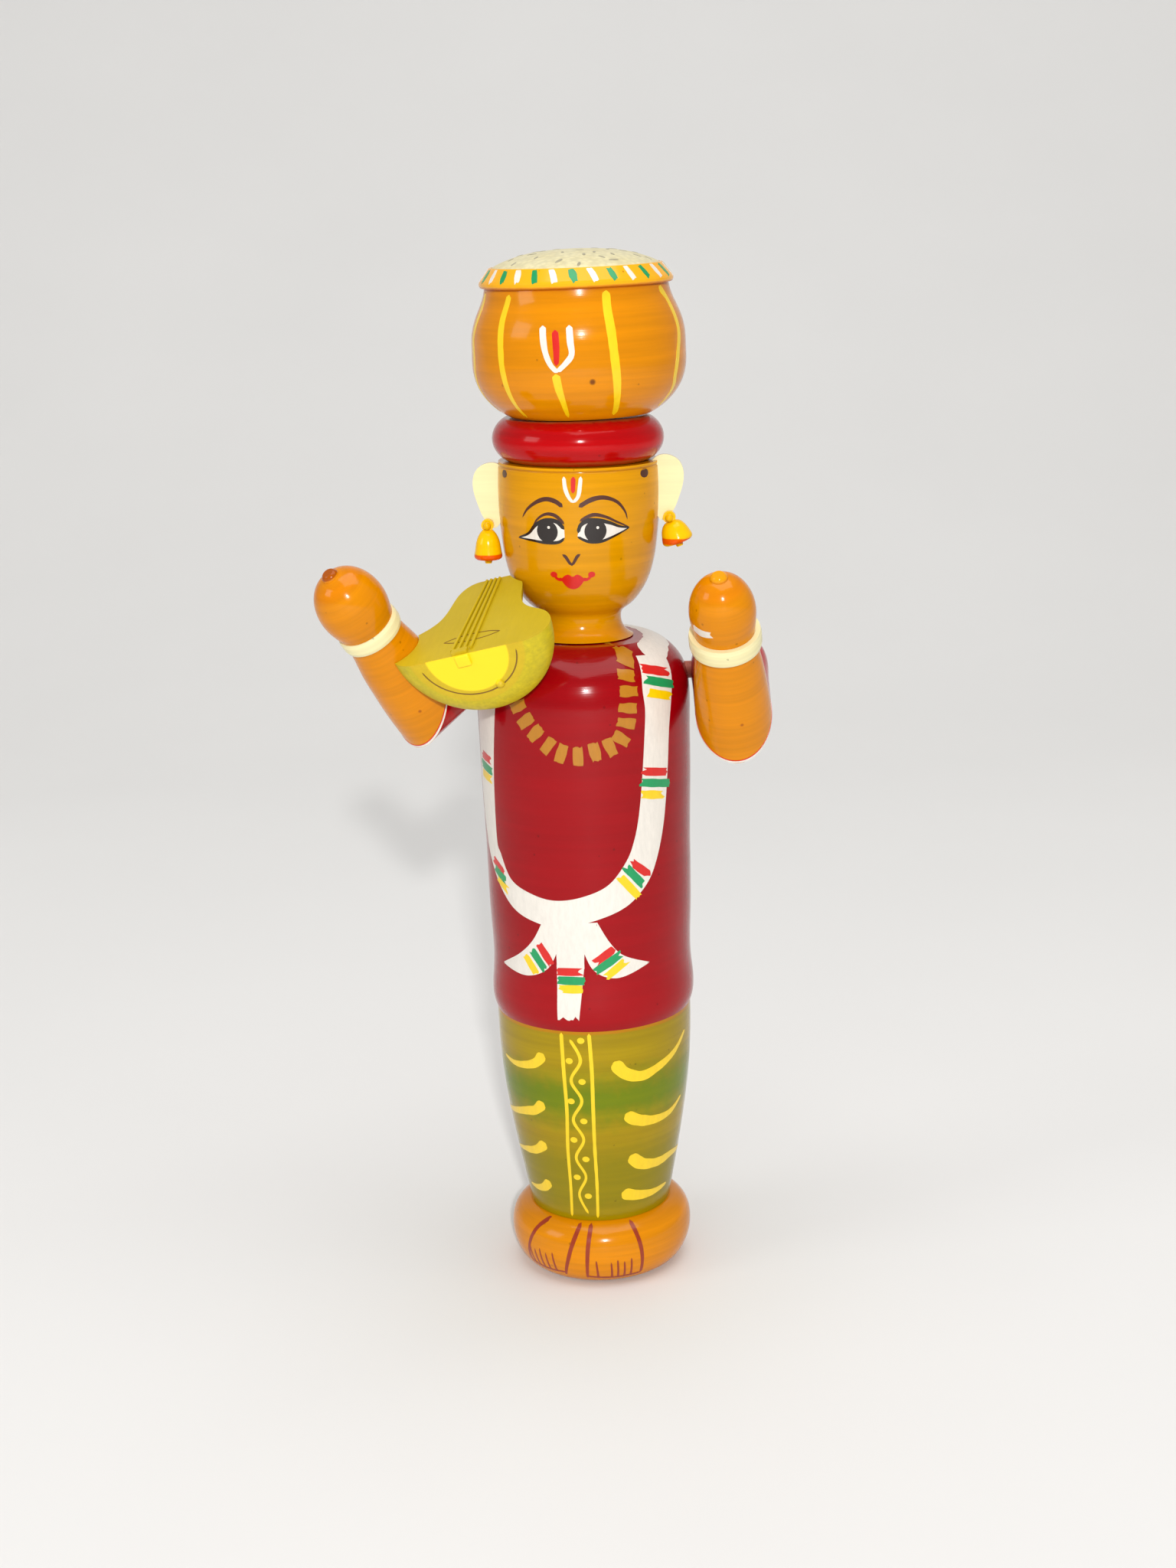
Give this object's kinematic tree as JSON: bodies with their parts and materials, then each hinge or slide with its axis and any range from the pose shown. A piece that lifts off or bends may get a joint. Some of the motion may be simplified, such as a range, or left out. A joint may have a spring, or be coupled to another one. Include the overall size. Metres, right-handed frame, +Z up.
{
  "type": "turned wooden musician figure",
  "caption": "Turned and lacquered wooden figure of a strolling musician balancing a rice pot on the head and holding a tambura, with pegged head, pot and arm.",
  "frame": {"origin": "centre of the flat underside of the base, on the standing surface", "axes": "+Z up along the turned body, face towards -Y, the figure's own left hand towards +X"},
  "size_m": [0.1276, 0.0785, 0.305],
  "materials": {
    "orange_lacquer": "gloss orange lacquer on turned wood",
    "golden_lacquer": "gloss golden-orange lacquer on turned wood",
    "crimson_lacquer": "gloss crimson lacquer on turned wood",
    "red_lacquer": "gloss red lacquer on turned wood",
    "olive_lacquer": "gloss olive-yellow lacquer with green patches",
    "cream_lacquer": "gloss cream lacquer",
    "yellow_lacquer": "gloss yellow lacquer",
    "matte_yellow": "matte yellow paint on carved wood",
    "rice_cream": "cream lacquer with painted grain marks",
    "bare_wood": "bare pale wood"
  },
  "bodies": {
    "figure": {"base_disc": "orange_lacquer", "base_dowel": "bare_wood", "skirt": "olive_lacquer", "waist_dowel": "bare_wood", "torso": "crimson_lacquer", "neck_dowel": "bare_wood", "upper_arm_left": "red_lacquer", "forearm_left": "orange_lacquer", "bangle_left": "cream_lacquer", "elbow_dowel_left": "bare_wood", "shoulder_peg_left": "bare_wood", "tambura_body": "matte_yellow", "tambura_bridge": "matte_yellow", "tambura_strings": "matte_yellow", "tambura_peg": "bare_wood"},
    "head": {"head": "golden_lacquer", "turban_ring": "red_lacquer", "crown_dowel": "bare_wood", "ear_left": "cream_lacquer", "ear_right": "cream_lacquer", "earring_pin_left": "yellow_lacquer", "earring_pin_right": "yellow_lacquer"},
    "pot": {"pot": "orange_lacquer", "rice_mound": "rice_cream"},
    "arm_right": {"upper_arm_right": "red_lacquer", "forearm_right": "orange_lacquer", "bangle_right": "cream_lacquer", "elbow_dowel_right": "bare_wood", "shoulder_peg_right": "bare_wood"},
    "earring_left": {"earring_left": "yellow_lacquer"},
    "earring_right": {"earring_right": "yellow_lacquer"}
  },
  "joints": [
    {"name": "head_turn", "type": "hinge", "parent": "figure", "child": "head", "pos_m": [0, 0, 0.1957], "axis": [0.0192, 0, 0.9998], "continuous": true},
    {"name": "pot_turn", "type": "hinge", "parent": "head", "child": "pot", "pos_m": [0.00232, 0, 0.25927], "axis": [-0.007, 0, 1], "continuous": true},
    {"name": "shoulder_right_swing", "type": "hinge", "parent": "figure", "child": "arm_right", "pos_m": [0.0429, 0, 0.184], "axis": [-1, 0, 0], "range_deg": [-60, 25]},
    {"name": "earring_left_swing", "type": "hinge", "parent": "head", "child": "earring_left", "pos_m": [-0.02549, -0.00078, 0.2288], "axis": [0.0697, 0.9976, -0.0013], "range_deg": [0, 20]},
    {"name": "earring_right_swing", "type": "hinge", "parent": "head", "child": "earring_right", "pos_m": [0.02641, -0.00441, 0.2298], "axis": [-0.0697, -0.9976, 0.0013], "range_deg": [-14, 10]}
  ]
}
